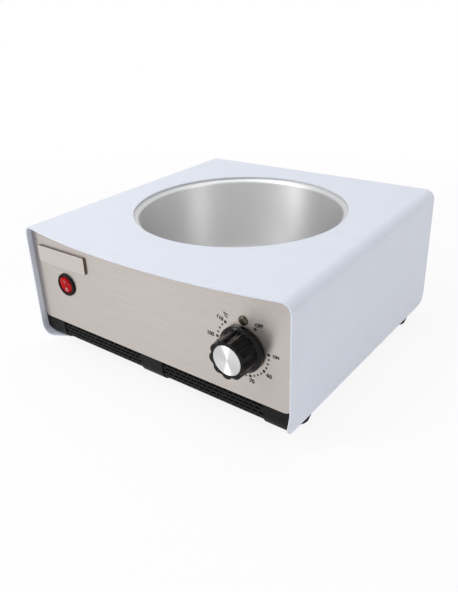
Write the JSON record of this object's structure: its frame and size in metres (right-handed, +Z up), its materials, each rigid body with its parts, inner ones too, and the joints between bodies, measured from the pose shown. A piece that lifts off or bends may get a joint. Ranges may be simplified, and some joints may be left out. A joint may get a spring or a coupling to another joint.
{
  "type": "candle wax melter",
  "caption": "Boxy electric wax melter: round pot sunk in the top of a forward-leaning casing, with a dial knob, a rocker switch and a vent strip on its front.",
  "frame": {"origin": "centre of the part's footprint box, on the plane its feet rest on", "axes": "+X to the right seen from the front, +Y to the back, +Z up"},
  "size_m": [0.3, 0.3425, 0.1509],
  "materials": {
    "casing_paint": "satin white powder coat",
    "brushed_plate": "brushed along its width",
    "black_moulding": "fine-grained black moulding",
    "red_rocker": "polished red",
    "brass": "bare",
    "gloss_black": "polished black phenolic",
    "spun_aluminium": "finely turned",
    "zinc_screw": "zinc-plated",
    "bare_sheet": "zinc-plated sheet",
    "white_ceramic": "ceramic-filled white",
    "copper_tube": "bare copper",
    "pot_aluminium": "satin, spun",
    "grey_seal": "silicone seal",
    "element_sheath": "oxidised sheath",
    "mineral_wool": "felted mineral fibre",
    "foot_rubber": "black rubber"
  },
  "bodies": {
    "casing": {"outer_shell": "casing_paint", "front_panel": "brushed_plate", "vent_strip": "black_moulding", "name_plate": "brushed_plate", "switch_housing": "black_moulding", "switch_terminals": "brass", "thermostat_bracket": "bare_sheet", "thermostat_body": "white_ceramic", "thermostat_terminals": "brass", "thermostat_screws": "zinc_screw", "capillary_tube": "copper_tube", "sensor_bulb": "copper_tube", "bulb_clip": "bare_sheet", "melting_pot": "pot_aluminium", "pot_gasket": "grey_seal", "pot_clips": "bare_sheet", "clip_nuts": "zinc_screw", "heater_element": "element_sheath", "heater_terminals": "zinc_screw", "element_clamp_plate": "bare_sheet", "clamp_nuts": "zinc_screw", "thermal_cutout": "white_ceramic", "cutout_nuts": "zinc_screw", "cutout_terminals": "brass", "pot_insulation": "mineral_wool", "insulation_strap": "bare_sheet", "panel_bracket_left": "bare_sheet", "panel_bracket_right": "bare_sheet", "panel_nuts": "zinc_screw", "back_panel": "bare_sheet", "back_screws": "zinc_screw", "cable_gland_body": "black_moulding", "cable_gland_cap": "black_moulding", "cable_gland_locknut": "black_moulding", "base_plate": "bare_sheet", "base_screws": "zinc_screw", "base_nuts": "zinc_screw", "strip_screws": "zinc_screw", "strip_nuts": "zinc_screw", "foot_front_left": "foot_rubber", "foot_front_right": "foot_rubber", "foot_rear_left": "foot_rubber", "foot_rear_right": "foot_rubber", "foot_screws": "zinc_screw", "foot_nuts": "zinc_screw", "terminal_block": "white_ceramic", "terminal_block_screws": "zinc_screw", "earth_stud": "brass", "earth_nut": "brass"},
    "knob": {"knob_body": "gloss_black", "knob_cap": "spun_aluminium", "knob_bush": "brass", "knob_grub_screw": "zinc_screw", "thermostat_shaft": "zinc_screw"},
    "rocker": {"switch_rocker": "red_rocker"}
  },
  "joints": [
    {"name": "knob_turn", "type": "hinge", "parent": "casing", "child": "knob", "pos_m": [0.103, -0.14696, 0.07651], "axis": [0, 0.9978, 0.0663], "range_deg": [0, 289]},
    {"name": "rocker_tilt", "type": "hinge", "parent": "casing", "child": "rocker", "pos_m": [-0.1045, -0.14656, 0.07653], "axis": [-1, 0, 0], "range_deg": [0, 18]}
  ]
}
